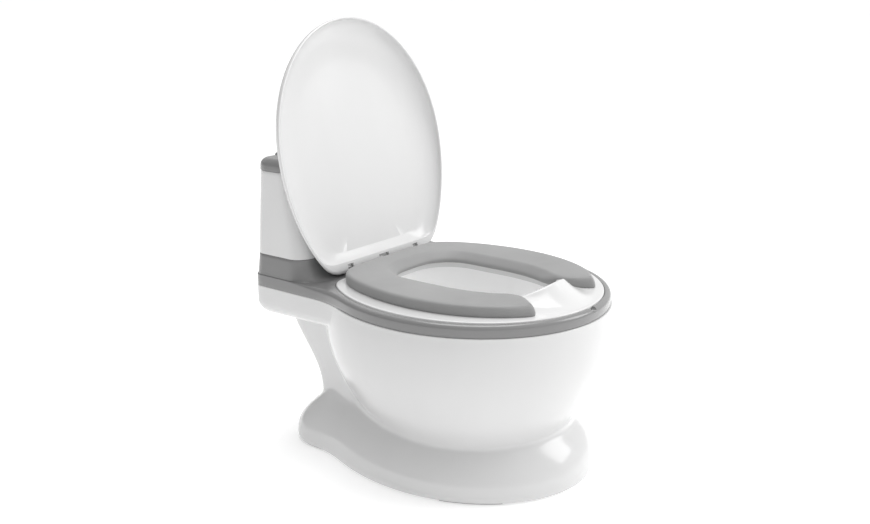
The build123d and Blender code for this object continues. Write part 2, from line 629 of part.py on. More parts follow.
def splash_guard():
    """The raised deflector in front of the opening: a scooped front under an arched crest."""
    root_z = SEAT_TOP_Z - 4
    front = Spline(*GUARD_SCOOP)
    (low_y, low_z), top_z = GUARD_SCOOP[0], GUARD_TOP_Z
    behind = [(GUARD_BACK_Y, top_z), (GUARD_BACK_Y, root_z)]
    back = Polyline(GUARD_SCOOP[-1], *behind, (low_y, root_z), (low_y, low_z))
    side = make_face([front.edge(), *back.edges()])
    crest = Spline(*GUARD_CREST)
    (left_x, end_z), (right_x, _) = GUARD_CREST[0], GUARD_CREST[-1]
    foot = Polyline((right_x, end_z), (right_x, root_z - 1), (left_x, root_z - 1), (left_x, end_z))
    arch = make_face([crest.edge(), *foot.edges()])
    wedge = slab(guard_mouth(1.0) & seat_plan(PLAY + WALL), root_z, top_z + 1)
    return side_extrusion(side) & extrude(Plane.XZ * arch, 200, both=True) & wedge


def seat_ring():
    top = slab(seat_plan(PLAY), LEDGE_Z + 2.5, SEAT_TOP_Z)
    top = fillet(top.edges().group_by(Axis.Z)[-1], 1.5)
    hollow = slab(seat_plan(PLAY + WALL) - seat_hole(-WALL), LEDGE_Z + 2, SEAT_TOP_Z - WALL)
    ring = top + splash_guard() - hollow - slab(seat_hole(), LEDGE_Z, 240)
    for x, y in cushion_peg_spots():
        ring = ring - post(3.2, x, y, LEDGE_Z, SEAT_TOP_Z + 1)
    return ring


def cushion_peg_spots():
    return [(-90, -60), (90, -60), (-88, 50), (88, 50), (0, 88)]


def cushion_plan(inset=0.0):
    """A horseshoe whose mouth widens forward, where the splash guard stands."""
    outer = cut_oval(
        CUSHION_HALF_WIDTH - inset, CUSHION_FRONT_Y + inset, CUSHION_REAR_Y - inset, CUSHION_CUT_Y - inset, 26
    )
    plan = outer - seat_hole(CUSHION_OVERHANG - inset) - guard_mouth(-inset)
    tips = plan.vertices().filter_by_position(Axis.Y, -160, -90)
    return fillet(tips, 4)


def cushion_plate():
    """The rigid plate moulded into the cushion's underside."""
    return slab(cushion_plan(4), SEAT_TOP_Z, SEAT_TOP_Z + 1.5)


def seat_cushion():
    body = slab(cushion_plan(), SEAT_TOP_Z, CUSHION_TOP_Z)
    body = fillet(body.edges().group_by(Axis.Z)[-1], CUSHION_EDGE_R)
    return body - slab(cushion_plan(4), SEAT_TOP_Z - 1, SEAT_TOP_Z + 1.5)


def cushion_pegs():
    """Snap pegs under the plate, which sit in holes in the seat ring."""
    pegs = []
    for x, y in cushion_peg_spots():
        pegs.append(post(2.8, x, y, SEAT_TOP_Z - 5.5, SEAT_TOP_Z))
    return Compound(pegs)


def pot_form(inset, floor):
    wide = 118 - inset
    return stack([(z + floor, oval(wide - d, -140 + inset + d, 94 - inset - d)) for z, d in POT_PROFILE])


def pot():
    flange = slab(seat_plan(PLAY + 0.6), LEDGE_Z, LEDGE_Z + 2.5)
    outer = pot_form(0, 0) + flange
    inner = pot_form(2.5, 2.5)
    return outer - inner


# ---------------------------------------------------------------- writing the pieces
PIECES = {
    "base_shell": base_shell,
    "rim_screws": rim_screws,
    "foot_pad_front_right": lambda: foot_pad(-1, -118, -62),
    "foot_pad_front_left": lambda: foot_pad(1, -118, -62),
    "foot_pad_rear_right": lambda: foot_pad(-1, 104, 162),
    "foot_pad_rear_left": lambda: foot_pad(1, 104, 162),
    "top_deck": top_deck,
    "lid_hinge_pins": lid_hinge_pins,
    "tank_shell": tank_shell,
    "tank_screws": tank_screws,
    "tank_buffers": tank_buffers,
    "tank_hinge_pins": tank_hinge_pins,
    "tank_lid": tank_lid,
    "unit_housing": unit_housing,
    "unit_screws": unit_screws,
    "sound_board": sound_board,
    "button_switch": button_switch,
    "speaker": speaker,
    "battery_cells": battery_cells,
    "battery_contacts": battery_contacts,
    "battery_cover": battery_cover,
    "battery_cover_screw": battery_cover_screw,
    "button_bezel": button_bezel,
    "flush_button": flush_button,
    "button_spring": button_spring,
    "lid_shell": lid_shell,
    "seat_ring": seat_ring,
    "seat_cushion": seat_cushion,
    "cushion_plate": cushion_plate,
    "cushion_pegs": cushion_pegs,
    "pot": pot,
}


def to_row_frame(shape):
    return Pos(0, -OBJECT_MIDDLE_Y, 0) * shape


os.makedirs("parts", exist_ok=True)
for name, make in PIECES.items():
    export_step(to_row_frame(make()), f"parts/{name}.step")
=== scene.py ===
import math

import bmesh
import bpy
import numpy as np
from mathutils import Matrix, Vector


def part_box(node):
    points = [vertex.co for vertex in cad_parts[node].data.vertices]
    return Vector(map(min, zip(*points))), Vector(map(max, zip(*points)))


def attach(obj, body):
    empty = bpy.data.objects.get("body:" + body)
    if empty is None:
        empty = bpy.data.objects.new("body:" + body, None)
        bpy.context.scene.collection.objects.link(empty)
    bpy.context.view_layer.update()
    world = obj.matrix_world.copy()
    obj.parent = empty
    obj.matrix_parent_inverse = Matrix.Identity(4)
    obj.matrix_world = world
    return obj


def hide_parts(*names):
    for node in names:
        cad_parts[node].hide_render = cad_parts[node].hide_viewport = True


# The looks of a toddler's potty chair. Outlines are worked out in millimetres in the drawing frame that the
# CAD uses, with Y = 0 near the middle of the bowl; to_row() moves them into the row frame in metres.

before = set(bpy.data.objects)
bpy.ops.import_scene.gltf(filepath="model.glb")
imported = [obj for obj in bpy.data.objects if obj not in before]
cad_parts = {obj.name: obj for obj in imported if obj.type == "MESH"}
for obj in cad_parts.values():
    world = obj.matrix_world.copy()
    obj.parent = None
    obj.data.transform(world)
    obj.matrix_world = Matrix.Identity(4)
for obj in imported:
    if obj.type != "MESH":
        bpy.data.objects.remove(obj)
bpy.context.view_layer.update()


def span(node):
    """Lowest and highest corner of a CAD node, in millimetres, in the row frame."""
    low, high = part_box(node)
    return np.array(low) * 1000, np.array(high) * 1000


deck_low, deck_high = span("top_deck")
shell_high = span("base_shell")[1]
tank_high = span("tank_shell")[1]
cap_low = span("tank_lid")[0]
pad_low, pad_high = span("seat_cushion")

# ---- the body, the rim band and the platform under the tank
RIM_FRONT = -170.0
SHIFT_Y = deck_low[1] - RIM_FRONT
SEAM_Z = deck_low[2]
RIM_TOP = SEAM_Z + 13.0
LEDGE_Z = SEAM_Z + 4.0
RIM_HALF = deck_high[0]
BULGE = shell_high[0] - RIM_HALF
BODY_REAR = deck_high[1] - SHIFT_Y
DECK_HALF = 120.0
DECK_CORNER = 15.0
DECK_INSET = 0.15
SWEEP_R = 22.5
CENTRE_Y = 15.0
WIDEST_Y = -15.0
WALL = 3.0

# ---- the tank and its lid
TANK_Z = deck_high[2]
TANK_TOP_Z = cap_low[2] - 0.4
CAP_TOP_Z = TANK_TOP_Z + 13.7
TANK_HALF = tank_high[0]
TANK_TOP_HALF = 110.3
TANK_FRONT_Y = 129.0
TANK_HINGE_Y = 197.0
TANK_HINGE_Z = 327.0
TANK_MIDDLE_Y = 177.0
TANK_WALL = 2.5

# ---- the seat, its opening and the cushion
SEAT_HALF = 137.3
SEAT_FRONT = -164.0
SEAT_Z = pad_low[2]
CUSHION_TOP = pad_high[2]
OPENING_Y = -20.0
OPENING_HALF = 62.0
OPENING_REAR = 73.0
OPENING_CORNER = 46.0
GUARD_RISE = 20.4
GUARD_HALF = 57.0
LOBE_Y = -143.0
LOBE_X = 62.0

# ---- the lid and its hinge
HINGE_Y = 113.2
HINGE_Z = 206.5
LID_END_Y = 118.9
LID_RIM_Z = 200.8
LID_SLOPE = 0.041
LID_FAR_Y = 469.9
LID_EDGE_WIDTH = 45.0
LID_CORNER = 18.0
LID_WALL = 2.6
LID_LEAN = 10.4
LID_LUGS = ((-62, -54), (-8, 8), (54, 62))
LID_KNUCKLES = ((-76, -62.6), (-53.4, -40), (-22, -8.6), (8.6, 22), (40, 53.4), (62.6, 76))

# ---- the pot
POT_FLOOR_Z = 96.0
POT_WALL = 2.5


# ---------------------------------------------------------------- outlines
def egg(half, front, rear, widest=WIDEST_Y, count=1440):
    """An egg: one half-ellipse in front of its widest line and a longer one behind."""
    t = np.linspace(0, 2 * np.pi, count, endpoint=False)
    reach = np.where(np.cos(t) > 0, widest - front, rear - widest)
    return np.stack([half * np.sin(t), widest - reach * np.cos(t)], 1)


def corner_path(corners):
    """A closed outline through (x, y, radius) corners given anticlockwise."""
    points = []
    count = len(corners)
    for i, (x, y, r) in enumerate(corners):
        here = np.array([x, y], float)
        back = np.array(corners[i - 1][:2], float) - here
        ahead = np.array(corners[(i + 1) % count][:2], float) - here
        back /= np.linalg.norm(back)
        ahead /= np.linalg.norm(ahead)
        half = math.acos(max(-1.0, min(1.0, float(back @ ahead)))) / 2
        r = max(r, 0.05)
        centre = here + (back + ahead) / np.linalg.norm(back + ahead) * r / math.sin(half)
        start = here + back * r / math.tan(half) - centre
        turn = math.pi - 2 * half
        for k in range(13):
            a = turn * k / 12
            c, s = math.cos(a), math.sin(a)
            points.append(centre + np.array([start[0] * c - start[1] * s, start[0] * s + start[1] * c]))
    return np.array(points)


def block(half, front, rear, front_r, rear_r):
    """A rectangle with one corner radius in front and another behind."""
    return corner_path(
        [(-half, front, front_r), (half, front, front_r), (half, rear, rear_r), (-half, rear, rear_r)]
    )


def resample(points, count):
    """The closed outline as count points spaced evenly along it."""
    loop = np.vstack([points, points[:1]])
    step = np.hypot(*np.diff(loop, axis=0).T)
    along = np.concatenate([[0], np.cumsum(step)])
    at = np.linspace(0, along[-1], count, endpoint=False)
    return np.stack([np.interp(at, along, loop[:, k]) for k in (0, 1)], 1)


def soften(points, radius, count=1600):
    """The outline with its corners rounded to about that radius."""
    even = resample(points, count)
    length = np.hypot(*np.diff(np.vstack([even, even[:1]]), axis=0).T).sum()
    sigma = 0.73 * radius / (length / count)
    k = np.minimum(np.arange(count), count - np.arange(count))
    kernel = np.exp(-0.5 * (k / sigma) ** 2)
    kernel /= kernel.sum()
    return np.stack([np.real(np.fft.ifft(np.fft.fft(even[:, i]) * np.fft.fft(kernel))) for i in (0, 1)], 1)


def cut_egg(half, front, rear, cut, radius, widest=WIDEST_Y):
    """An egg cut straight across behind, with rounded corners."""
    points = egg(half, front, rear, widest)
    points[:, 1] = np.minimum(points[:, 1], cut)
    return soften(points, radius)


class Spokes:
    """Directions from a centre, spaced evenly along a reference outline. Outlines become radii on them."""

    def __init__(self, centre_y, outline, count):
        self.centre_y = centre_y
        even = resample(outline, count)
        self.turn = np.sort(np.arctan2(even[:, 0], centre_y - even[:, 1]))

    def radius(self, outline):
        dense = resample(outline, 2400)
        x = dense[:, 0]
        y = dense[:, 1] - self.centre_y
        turn = np.arctan2(x, -y)
        order = np.argsort(turn)
        return np.interp(self.turn, turn[order], np.hypot(x, y)[order], period=2 * np.pi)

    def ring(self, radius, z):
        x = radius * np.sin(self.turn)
        y = self.centre_y - radius * np.cos(self.turn)
        return np.stack([x, y, np.broadcast_to(z, x.shape)], 1)


def smooth_max(a, b, k):
    """The larger of two values, with the crossing rounded over k."""
    h = np.maximum(k - np.abs(a - b), 0) / k
    return np.maximum(a, b) + h * h * k / 4


def ease(x, low, high):
    t = np.clip((x - low) / (high - low), 0, 1)
    return t * t * (3 - 2 * t)


def spline(pairs):
    """A natural cubic through (position, value) pairs."""
    x, y = np.array(pairs, float).T
    n = len(x)
    h = np.diff(x)
    a = np.eye(n)
    b = np.zeros(n)
    for i in range(1, n - 1):
        a[i, i - 1 : i + 2] = h[i - 1], 2 * (h[i - 1] + h[i]), h[i]
        b[i] = 6 * ((y[i + 1] - y[i]) / h[i] - (y[i] - y[i - 1]) / h[i - 1])
    m = np.linalg.solve(a, b)

    def at(value):
        value = np.clip(value, x[0], x[-1])
        i = np.clip(np.searchsorted(x, value) - 1, 0, n - 2)
        left, right = value - x[i], x[i + 1] - value
        cubic = (m[i] * right**3 + m[i + 1] * left**3) / (6 * h[i])
        from_left = (y[i] / h[i] - m[i] * h[i] / 6) * right
        from_right = (y[i + 1] / h[i] - m[i + 1] * h[i] / 6) * left
        return cubic + from_left + from_right

    return at


# ---------------------------------------------------------------- mesh building
def to_row(points):
    out = np.array(points, float)
    out[:, 1] += SHIFT_Y
    return out / 1000


def make_object(name, verts, faces, material, sharp=32):
    mesh = bpy.data.meshes.new(name)
    mesh.from_pydata([tuple(v) for v in verts], [], faces)
    build = bmesh.new()
    build.from_mesh(mesh)
    bmesh.ops.remove_doubles(build, verts=build.verts, dist=1e-6)
    bmesh.ops.recalc_face_normals(build, faces=build.faces)
    build.to_mesh(mesh)
    build.free()
    obj = bpy.data.objects.new(name, mesh)
    bpy.context.scene.collection.objects.link(obj)
    mesh.materials.append(material)
    smooth(obj, sharp)
    return obj


def smooth(obj, sharp=32):
    obj.data.polygons.foreach_set("use_smooth", [True] * len(obj.data.polygons))
    obj.data.set_sharp_from_angle(angle=math.radians(sharp))


def skin(rings, loop=False, cap_first=False, cap_last=False):
    """Vertices and faces of a tube of quads through rings of equal length, optionally closed or capped."""
    count = len(rings[0])
    verts = np.vstack(rings)
    faces = []
    last = len(rings) if loop else len(rings) - 1
    for k in range(last):
        low = k * count
        high = ((k + 1) % len(rings)) * count
        for i in range(count):
            j = (i + 1) % count
            faces.append((low + i, low + j, high + j, high + i))
    if cap_first:
        faces.append(tuple(range(count)))
    if cap_last:
        start = (len(rings) - 1) * count
        faces.append(tuple(range(start, start + count)))
    return verts, faces


def shell(name, rings, material, **kinds):
    sharp = kinds.pop("sharp", 32)
    verts, faces = skin(rings, **kinds)
    return make_object(name, to_row(verts), faces, material, sharp)


def fill_ends(obj):
    """Closes each open end of a mesh with triangles that follow its outline, however hollow that is."""
    build = bmesh.new()
    build.from_mesh(obj.data)
    open_edges = [edge for edge in build.edges if edge.is_boundary]
    for height in sorted({round(edge.verts[0].co.z, 4) for edge in open_edges}):
        level = [edge for edge in open_edges if abs(edge.verts[0].co.z - height) < 2e-4]
        bmesh.ops.triangle_fill(build, use_beauty=True, use_dissolve=False, edges=level, normal=(0, 0, 1))
    bmesh.ops.recalc_face_normals(build, faces=build.faces)
    build.to_mesh(obj.data)
    build.free()
    smooth(obj, 60)


def arc(radius, start, end, steps):
    """Points (across, up) round a circle of that radius, in degrees from the across axis."""
    turns = np.radians(np.linspace(start, end, steps + 1))
    return [(radius * math.cos(t), radius * math.sin(t)) for t in turns]


def rounded_bar(name, radius, x_from, x_to, y, z, material, edge=0.6, sides=40):
    """A turned bar along X with softly rounded ends."""
    bends = [(edge * math.cos(t), radius - edge + edge * math.sin(t)) for t in (0.5, 1.0, 1.57)]
    stations = [(x_from, radius * 0.5), (x_from, radius - edge)]
    stations += [(x_from + edge - across, r) for across, r in bends]
    stations += [(x_to - edge + across, r) for across, r in bends[::-1]]
    stations += [(x_to, radius - edge), (x_to, radius * 0.5)]
    t = np.linspace(0, 2 * np.pi, sides, endpoint=False)
    rings = [np.stack([np.full(sides, x), y + r * np.cos(t), z + r * np.sin(t)], 1) for x, r in stations]
    return shell(name, rings, material, cap_first=True, cap_last=True)


def rounded_prism(name, profile, x_from, x_to, material, edge=0.6):
    """A closed (y, z) outline drawn out along X, with softened end edges."""
    profile = np.array(profile, float)
    away = profile - profile.mean(0)
    size = np.hypot(away[:, 0], away[:, 1])
    stations = [(x_from, edge), (x_from + edge * 0.3, edge * 0.3), (x_from + edge, 0.0)]
    stations += [(x_to - edge, 0.0), (x_to - edge * 0.3, edge * 0.3), (x_to, edge)]
    rings = []
    for x, inset in stations:
        pulled = profile - away / size[:, None] * inset
        rings.append(np.stack([np.full(len(profile), x), pulled[:, 0], pulled[:, 1]], 1))
    return shell(name, rings, material, cap_first=True, cap_last=True)


def turned(centre_x, centre_y, steps, material):
    """A round boss standing on Z, through (radius, height) steps."""
    t = np.linspace(0, 2 * np.pi, 32, endpoint=False)
    rings = []
    for r, z in steps:
        rings.append(np.stack([centre_x + r * np.cos(t), centre_y + r * np.sin(t), np.full(32, z)], 1))
    return shell("boss", rings, material, cap_first=True, cap_last=True)


def join(name, pieces):
    """One object from several."""
    first = pieces[0]
    with bpy.context.temp_override(active_object=first, selected_editable_objects=pieces):
        bpy.ops.object.join()
    first.name = name
    first.data.name = name
    return first


def carve(target, cutter, sharp=32):
    """Cuts the cutter out of the target, and removes the cutter."""
    cut = target.modifiers.new("cut", "BOOLEAN")
    cut.operation = "DIFFERENCE"
    cut.solver = "EXACT"
    cut.object = cutter
    graph = bpy.context.evaluated_depsgraph_get()
    mesh = bpy.data.meshes.new_from_object(target.evaluated_get(graph))
    target.modifiers.remove(cut)
    target.data = mesh
    bpy.data.objects.remove(cutter)
    smooth(target, sharp)


def cutter_box(low, high):
    xs, ys, zs = zip(low, high)
    verts = [(x, y, z) for x in xs for y in ys for z in zs]
    faces = [(0, 1, 3, 2), (4, 6, 7, 5), (0, 4, 5, 1), (2, 3, 7, 6), (0, 2, 6, 4), (1, 5, 7, 3)]
    return make_object("cutter", to_row(verts), faces, WHITE)


# ---------------------------------------------------------------- materials
def new_material(name):
    material = bpy.data.materials.new(name)
    material.use_nodes = True
    tree = material.node_tree
    shader = tree.nodes["Principled BSDF"]
    place = tree.nodes.new("ShaderNodeTexCoord")
    return material, tree, shader, place.outputs["Object"]


def noise(tree, place, scale, detail=4.0, stretch=(1, 1, 1)):
    mapping = tree.nodes.new("ShaderNodeMapping")
    mapping.inputs["Scale"].default_value = stretch
    tree.links.new(place, mapping.inputs["Vector"])
    texture = tree.nodes.new("ShaderNodeTexNoise")
    texture.inputs["Scale"].default_value = scale
    texture.inputs["Detail"].default_value = detail
    tree.links.new(mapping.outputs["Vector"], texture.inputs["Vector"])
    return texture.outputs["Fac"]


def ramp(tree, source, stops):
    node = tree.nodes.new("ShaderNodeValToRGB")
    for i, (position, colour) in enumerate(stops):
        stop = node.color_ramp.elements[i] if i < 2 else node.color_ramp.elements.new(position)
        stop.position = position
        stop.color = (*colour, 1)
    tree.links.new(source, node.inputs["Fac"])
    return node.outputs["Color"]


def spread(tree, source, low, high):
    node = tree.nodes.new("ShaderNodeMapRange")
    node.inputs["To Min"].default_value = low
    node.inputs["To Max"].default_value = high
    tree.links.new(source, node.inputs["Value"])
    return node.outputs["Result"]


def relief(tree, shader, heights):
    """Stacks (height, strength, distance) bumps onto the shader."""
    before = None
    for height, strength, distance in heights:
        bump = tree.nodes.new("ShaderNodeBump")
        bump.inputs["Strength"].default_value = strength
        bump.inputs["Distance"].default_value = distance
        tree.links.new(height, bump.inputs["Height"])
        if before is not None:
            tree.links.new(before, bump.inputs["Normal"])
        before = bump.outputs["Normal"]
    tree.links.new(before, shader.inputs["Normal"])


def moulded(name, colour, tint=0.03, rough=(0.16, 0.26), coat=0.35, coat_rough=0.08, painted_glow=0.0):
    """Injection-moulded plastic: faint flow marks, a fine skin, and roughness that varies with handling.

    Its last argument is painted light: an emission that lifts the white where it lies in shade, not light
    from any lamp.
    """
    material, tree, shader, place = new_material(name)
    flow = noise(tree, place, 9.0, 3.0, (1, 1, 0.35))
    darker = tuple(c * (1 - tint) for c in colour)
    lighter = tuple(min(1.0, c * (1 + tint * 0.5)) for c in colour)
    tree.links.new(ramp(tree, flow, [(0.3, darker), (0.7, lighter)]), shader.inputs["Base Color"])
    handling = noise(tree, place, 34.0, 5.0)
    tree.links.new(spread(tree, handling, *rough), shader.inputs["Roughness"])
    waves = noise(tree, place, 22.0, 2.0)
    skin_grain = noise(tree, place, 900.0, 2.0)
    relief(tree, shader, [(waves, 0.03, 0.0006), (skin_grain, 0.06, 0.00008)])
    shader.inputs["Coat Weight"].default_value = coat
    shader.inputs["Coat Roughness"].default_value = coat_rough
    # Painted light: the emission makes the surface glow, so white that sits in shade still comes out bright.
    shader.inputs["Emission Color"].default_value = (1, 1, 1, 1)
    shader.inputs["Emission Strength"].default_value = painted_glow
    shader.inputs["IOR"].default_value = 1.49
    return material


def padded_skin(name, colour):
    """The satin skin of moulded foam: a leathery grain, and paler where it is rubbed."""
    material, tree, shader, place = new_material(name)
    patch = noise(tree, place, 14.0, 4.0)
    darker = tuple(c * 0.93 for c in colour)
    lighter = tuple(c * 1.05 for c in colour)
    tree.links.new(ramp(tree, patch, [(0.32, darker), (0.68, lighter)]), shader.inputs["Base Color"])
    tree.links.new(spread(tree, noise(tree, place, 60.0, 5.0), 0.42, 0.56), shader.inputs["Roughness"])
    cells = tree.nodes.new("ShaderNodeTexVoronoi")
    cells.inputs["Scale"].default_value = 900.0
    tree.links.new(place, cells.inputs["Vector"])
    relief(tree, shader, [(patch, 0.12, 0.0008), (cells.outputs["Distance"], 0.10, 0.00012)])
    shader.inputs["Sheen Weight"].default_value = 0.15
    shader.inputs["Sheen Roughness"].default_value = 0.4
    shader.inputs["IOR"].default_value = 1.46
    return material


def metal(name, colour, rough=(0.22, 0.38)):
    """Plated or drawn steel with fine draw lines."""
    material, tree, shader, place = new_material(name)
    lines = noise(tree, place, 700.0, 3.0, (0.05, 1, 1))
    darker = tuple(c * 0.8 for c in colour)
    tree.links.new(ramp(tree, lines, [(0.3, darker), (0.7, colour)]), shader.inputs["Base Color"])
    tree.links.new(spread(tree, lines, *rough), shader.inputs["Roughness"])
    relief(tree, shader, [(lines, 0.15, 0.00005)])
    shader.inputs["Metallic"].default_value = 1.0
    return material


def rubber(name, colour):
    material, tree, shader, place = new_material(name)
    dust = noise(tree, place, 120.0, 6.0)
    paler = tuple(min(1.0, c * 1.25) for c in colour)
    tree.links.new(ramp(tree, dust, [(0.4, colour), (0.75, paler)]), shader.inputs["Base Color"])
    tree.links.new(spread(tree, dust, 0.6, 0.85), shader.inputs["Roughness"])
    relief(tree, shader, [(noise(tree, place, 1500.0, 3.0), 0.2, 0.0001)])
    return material


WHITE = moulded("white_plastic", (0.70, 0.70, 0.70))
# The pot glows a little: painted light that brightens its inside, which lies in the shade of the seat and
# cushion.
POT_WHITE = moulded("pot_plastic_painted_glow", (0.92, 0.92, 0.92), painted_glow=0.12)
# The seat ring glows a little too, with its base colour darkened to make up for it: painted light that
# brightens its inner wall where it lies in shade.
SEAT_WHITE = moulded("seat_plastic_painted_glow", (0.66, 0.66, 0.66), painted_glow=0.06)
GREY = moulded("grey_plastic", (0.21, 0.21, 0.21), rough=(0.25, 0.28), coat=0.6, coat_rough=0.12)
CUSHION = padded_skin("cushion_skin", (0.29, 0.29, 0.29))
INNER = moulded("inner_plastic", (0.62, 0.62, 0.62), rough=(0.4, 0.55), coat=0.0)
DARK = moulded("dark_plastic", (0.03, 0.03, 0.03), rough=(0.4, 0.55), coat=0.0)
BOARD = moulded("board_laminate", (0.03, 0.14, 0.06), tint=0.15, rough=(0.3, 0.45), coat=0.3)
CELL = moulded("cell_jacket", (0.07, 0.07, 0.08), rough=(0.25, 0.35), coat=0.4)
RUBBER = rubber("pad_rubber", (0.34, 0.34, 0.34))
SCREW = metal("screw_steel", (0.55, 0.55, 0.57))
PIN = metal("pin_steel", (0.60, 0.61, 0.63))
CONTACT = metal("contact_steel", (0.68, 0.68, 0.70), (0.15, 0.28))


# ---------------------------------------------------------------- base shell
def body_radius(spokes, inset=0.0):
    """The rim's outline: the bowl's egg running into the straight deck under the tank."""
    bowl = spokes.radius(egg(RIM_HALF - inset, RIM_FRONT + inset, 150 - inset))
    tail = spokes.radius(block(DECK_HALF - inset, -60, BODY_REAR - inset, 20, 15))
    return smooth_max(bowl, tail, 16)


BODY = Spokes(CENTRE_Y, block(135, -170, BODY_REAR, 110, 15), 400)
BODY_R = body_radius(BODY)
# (height, inset) of the bowl and of the foot, and (height, rear) of the column
bowl_inset = spline(
    [
        (40, 52), (48, 44), (57, 38), (74, 27.2), (95, 16.2),
        (116, 7.6), (135, 2.6), (155, 0.2), (172, 0.3), (186, 2.2),
    ]
)
foot_inset = spline(
    [(2, 1.6), (4.5, 0.5), (10, 0), (17, 0.4), (28, 4), (38, 11), (46, 18.6), (54, 26), (64, 34), (70, 44)]
)
column_rear = spline(
    [(30, 150), (60, 151), (80, 156), (100, 168), (120, 183), (140, 196), (156, 203), (170, 206)]
)
FOOT_TOP_Z = 70
OVERHANG_R = 14.0
OVERHANG_Z = SEAM_Z - 17.0


def base_radius(z):
    """The base's outer surface at height z, on the body's spokes."""
    foot_d = float(foot_inset(z))
    egg_part = BODY.radius(egg(133 - foot_d, -161 + foot_d, 173 - foot_d, -2))
    heel = BODY.radius(block(109.5 - foot_d, -60, 173 - foot_d, 20, max(6, 40 - foot_d * 0.5)))
    foot = smooth_max(egg_part, heel, 14)
    if z > FOOT_TOP_Z:
        foot = np.zeros_like(foot)
    rear = float(column_rear(z))
    right = [(100, -60, 20), (97, 25, 30), (71, rear, 15)]
    left = [(-x, y, r) for x, y, r in right[::-1]]
    column = BODY.radius(corner_path([left[2], *right, *left[:2]]))
    bowl_d = float(bowl_inset(z)) + max(0.0, 40 - z) * 1.4
    wide = RIM_HALF + BULGE
    bowl = BODY.radius(egg(wide - bowl_d, RIM_FRONT - BULGE + bowl_d, 153 - bowl_d))
    lower = smooth_max(smooth_max(bowl, column, 7), foot, 5)
    below = OVERHANG_Z - z
    if below <= 0:
        over = BODY_R - DECK_INSET
    elif below <= OVERHANG_R:
        over = BODY_R - DECK_INSET - OVERHANG_R + math.sqrt(max(0.0, OVERHANG_R**2 - below**2))
    else:
        rise = max(0.0, 1 - (below - OVERHANG_R) / 7.0)
        tuck = 7.0 * (1 - math.sqrt(max(0.0, 1 - rise**2)))
        over = np.minimum(BODY_R - OVERHANG_R, lower + tuck)
    return np.maximum(lower, over)


def base_levels():
    """Heights of the base's rings, closer together where its outline turns fast."""
    levels = [2.0, 2.6, 3.6, 5.0, 7.0]
    levels += list(np.arange(9.5, 66, 2.0))
    levels += list(np.arange(68, 148, 3.0))
    levels += [148, 149.5, 151, 152.4, 153.4, 154.2, 154.7, 154.98]
    levels += [155.0 + 14 - 14 * math.cos(t) for t in np.radians(np.arange(3, 91, 8.7))]
    levels += list(np.arange(172, SEAM_Z - 1.5, 3.0))
    return levels


def build_base():
    outer = [(base_radius(z), z) for z in base_levels()]
    rings = [BODY.ring(r, z) for r, z in outer]
    top_r = outer[-1][0]
    for across, up in arc(1.0, 0, 90, 4):
        rings.append(BODY.ring(top_r - 1.0 + across, SEAM_Z - 1.0 + up))
    rings.append(BODY.ring(top_r - WALL, SEAM_Z))
    for r, z in outer[::-3]:
        if 8 < z < SEAM_Z - 4:
            rings.append(BODY.ring(r - WALL, z))
    foot_r = outer[3][0]
    rings.append(BODY.ring(foot_r - 3.5, 5.0))
    rings.append(BODY.ring(foot_r - 13.0, 5.0))
    rings.append(BODY.ring(foot_r - 13.0, 2.0))
    base = shell("base_body", rings, WHITE, loop=True, sharp=38)
    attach(base, "base")
    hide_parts("base_shell")


# ---------------------------------------------------------------- grey rim and the tank's platform
def seat_outline(inset=0.0):
    return cut_egg(SEAT_HALF - inset, SEAT_FRONT + inset, 145 - inset, 104.3 - inset, 16)


def build_deck_ring():
    """The rim band with its ledge for the seat, and the half-round finger notch in front."""
    rear = ease(BODY.ring(BODY_R, 0)[:, 1], 95, 150)
    side_r = BODY_R - DECK_INSET - 0.35 * ease(BODY.ring(BODY_R, 0)[:, 1], 140, 156)
    edge = 5.0 - 4.2 * rear
    opening = BODY.radius(seat_outline())
    lower_opening = BODY.radius(seat_outline(7))
    rings = [BODY.ring(side_r - 0.7, SEAM_Z)]
    rings += [BODY.ring(side_r - 0.2, SEAM_Z + 0.15), BODY.ring(side_r, SEAM_Z + 0.6)]
    rings.append(BODY.ring(side_r, SEAM_Z + 4.0))
    for across, up in arc(1.0, 0, 90, 8):
        rings.append(BODY.ring(side_r - edge * (1 - across), RIM_TOP - edge * (1 - up)))
    rings.append(BODY.ring(opening + 0.8, RIM_TOP))
    rings += [BODY.ring(opening + 0.25, RIM_TOP - 0.2), BODY.ring(opening, RIM_TOP - 0.8)]
    rings.append(BODY.ring(opening, LEDGE_Z))
    rings.append(BODY.ring(lower_opening, LEDGE_Z))
    rings.append(BODY.ring(lower_opening, SEAM_Z))
    ring = shell("deck_ring", rings, GREY, loop=True)

    notch = rounded_bar("cutter", 5.0, -10, 10, 0, 0, GREY, 0.05)
    start = np.array([(v.co.x, v.co.y - SHIFT_Y / 1000, v.co.z) for v in notch.data.vertices])
    along = (RIM_FRONT + 3 + SHIFT_Y) / 1000 + start[:, 0]
    placed = np.stack([-start[:, 1], along, start[:, 2] + (RIM_TOP + 1.0) / 1000], 1)
    notch.data.vertices.foreach_set("co", placed.ravel())
    carve(ring, notch)
    return ring


def platform_section(z):
    """Half width, front, rear and front corner radius of the tank's platform at height z."""
    drop = min(SWEEP_R, max(0.0, TANK_Z - 1 - z))
    sweep = SWEEP_R - math.sqrt(SWEEP_R**2 - drop**2)
    share = (z - SEAM_Z) / (TANK_Z - SEAM_Z)
    half = DECK_HALF + share * (TANK_HALF - DECK_HALF)
    return half, TANK_FRONT_Y - sweep, BODY_REAR - share, 20 + sweep


def platform_outline(z, inset=0.0):
    half, front, rear, r = platform_section(z)
    rear_y = rear - DECK_INSET - inset
    return block(half - DECK_INSET - inset, front + inset, rear_y, r - inset, DECK_CORNER - inset)


